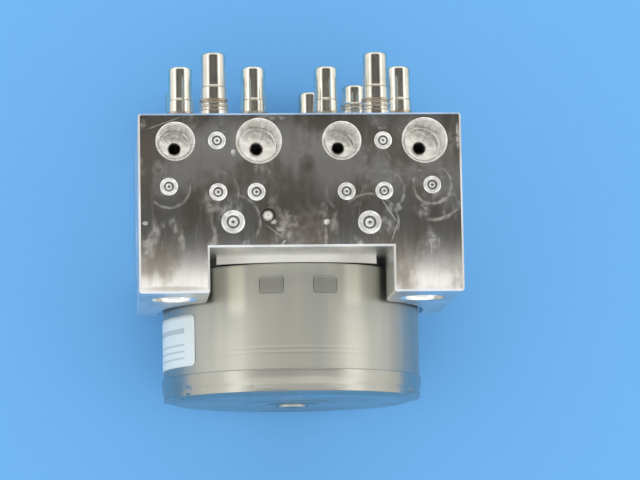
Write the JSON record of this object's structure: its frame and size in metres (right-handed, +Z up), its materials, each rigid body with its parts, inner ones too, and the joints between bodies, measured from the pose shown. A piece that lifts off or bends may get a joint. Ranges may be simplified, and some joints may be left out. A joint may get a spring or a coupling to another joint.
{
  "type": "abs brake module",
  "caption": "Hydraulic unit of an anti-lock brake system: machined aluminium valve block with pipe ports, steel valve domes and a round pump motor below.",
  "frame": {"origin": "centre of the block's rear face, which it rests on", "axes": "+X across the block's width, +Y out of the face that carries the valve domes, +Z up, out of the pipe-port face"},
  "size_m": [0.096, 0.1055, 0.0986],
  "materials": {
    "block_aluminium": "machined, fine milling and handling scratches",
    "plug_steel": "bright turned",
    "valve_steel": "drawn, polished, lightly tarnished at the collars",
    "can_steel": "zinc plated, satin",
    "cap_steel": "zinc plated, satin",
    "flange_steel": "zinc plated",
    "screw_steel": "zinc plated",
    "label_paper": "coated label",
    "ferrite": "dull grey ferrite",
    "moulding": "glass-filled moulding",
    "contact_brass": "bright",
    "core_steel": "stacked sheet",
    "copper": "enamelled wire",
    "bearing_steel": "ground",
    "bush_bronze": "sintered bronze",
    "seal_rubber": "moulded",
    "carbon": "pressed carbon and copper",
    "spring_steel": "drawn wire"
  },
  "bodies": {
    "hydraulic_unit": {"accumulator_cap_left": "plug_steel", "accumulator_cap_right": "plug_steel", "accumulator_spring_left": "spring_steel", "accumulator_spring_right": "spring_steel", "brush_plate": "moulding", "field_magnets": "ferrite", "front_bearing": "bearing_steel", "inlet_valve_left_inner": "valve_steel", "inlet_valve_left_outer": "valve_steel", "inlet_valve_right_inner": "valve_steel", "inlet_valve_right_outer": "valve_steel", "isolating_valve_left": "valve_steel", "isolating_valve_right": "valve_steel", "motor_can": "can_steel", "motor_end_cap": "cap_steel", "motor_flange": "flange_steel", "motor_label": "label_paper", "motor_screws": "screw_steel", "motor_terminals": "contact_brass", "outlet_valve_left_inner": "valve_steel", "outlet_valve_left_outer": "valve_steel", "outlet_valve_right_inner": "valve_steel", "outlet_valve_right_outer": "valve_steel", "passage_ball": "plug_steel", "passage_plugs_large": "plug_steel", "passage_plugs_small": "plug_steel", "priming_valve_left": "valve_steel", "priming_valve_right": "valve_steel", "pump_plug_left": "plug_steel", "pump_plug_right": "plug_steel", "pump_spring_left": "spring_steel", "pump_spring_right": "spring_steel", "rear_bearing": "bearing_steel", "shaft_bush": "bush_bronze", "shaft_seal": "seal_rubber", "valve_block": "block_aluminium"},
    "rotor": {"motor_shaft": "bearing_steel", "armature_core": "core_steel", "armature_winding": "copper", "commutator": "contact_brass", "eccentric": "bearing_steel"},
    "eccentric_bearing": {"eccentric_ring": "bearing_steel"},
    "plunger_left": {"pump_plunger_left": "bearing_steel"},
    "plunger_right": {"pump_plunger_right": "bearing_steel"},
    "piston_left": {"accumulator_piston_left": "moulding"},
    "piston_right": {"accumulator_piston_right": "moulding"},
    "carbon_left": {"brush_left": "carbon"},
    "carbon_right": {"brush_right": "carbon"}
  },
  "joints": [
    {"name": "rotor_turn", "type": "hinge", "parent": "hydraulic_unit", "child": "rotor", "pos_m": [0, 0, 0.0404], "axis": [0, 1, 0], "continuous": true},
    {"name": "eccentric_bearing_turn", "type": "hinge", "parent": "rotor", "child": "eccentric_bearing", "pos_m": [0, -0.009, 0.0419], "axis": [0, 1, 0], "continuous": true},
    {"name": "plunger_stroke_left", "type": "slide", "parent": "hydraulic_unit", "child": "plunger_left", "axis": [1, 0, 0], "range_m": [0, 0.0015]},
    {"name": "piston_stroke_left", "type": "slide", "parent": "hydraulic_unit", "child": "piston_left", "axis": [0, 0, -1], "range_m": [0, 0.008], "stiffness_N_per_m": 400, "deforming": ["accumulator_spring_left"]},
    {"name": "brush_travel_left", "type": "slide", "parent": "hydraulic_unit", "child": "carbon_left", "axis": [-1, 0, 0], "range_m": [0, 0.003], "stiffness_N_per_m": 200},
    {"name": "plunger_stroke_right", "type": "slide", "parent": "hydraulic_unit", "child": "plunger_right", "axis": [-1, 0, 0], "range_m": [0, 0.0015]},
    {"name": "piston_stroke_right", "type": "slide", "parent": "hydraulic_unit", "child": "piston_right", "axis": [0, 0, -1], "range_m": [0, 0.008], "stiffness_N_per_m": 400, "deforming": ["accumulator_spring_right"]},
    {"name": "brush_travel_right", "type": "slide", "parent": "hydraulic_unit", "child": "carbon_right", "axis": [1, 0, 0], "range_m": [0, 0.003], "stiffness_N_per_m": 200}
  ],
  "couplings": [
    {"joint": "eccentric_bearing_turn", "follows": "rotor_turn", "ratio": -1}
  ]
}
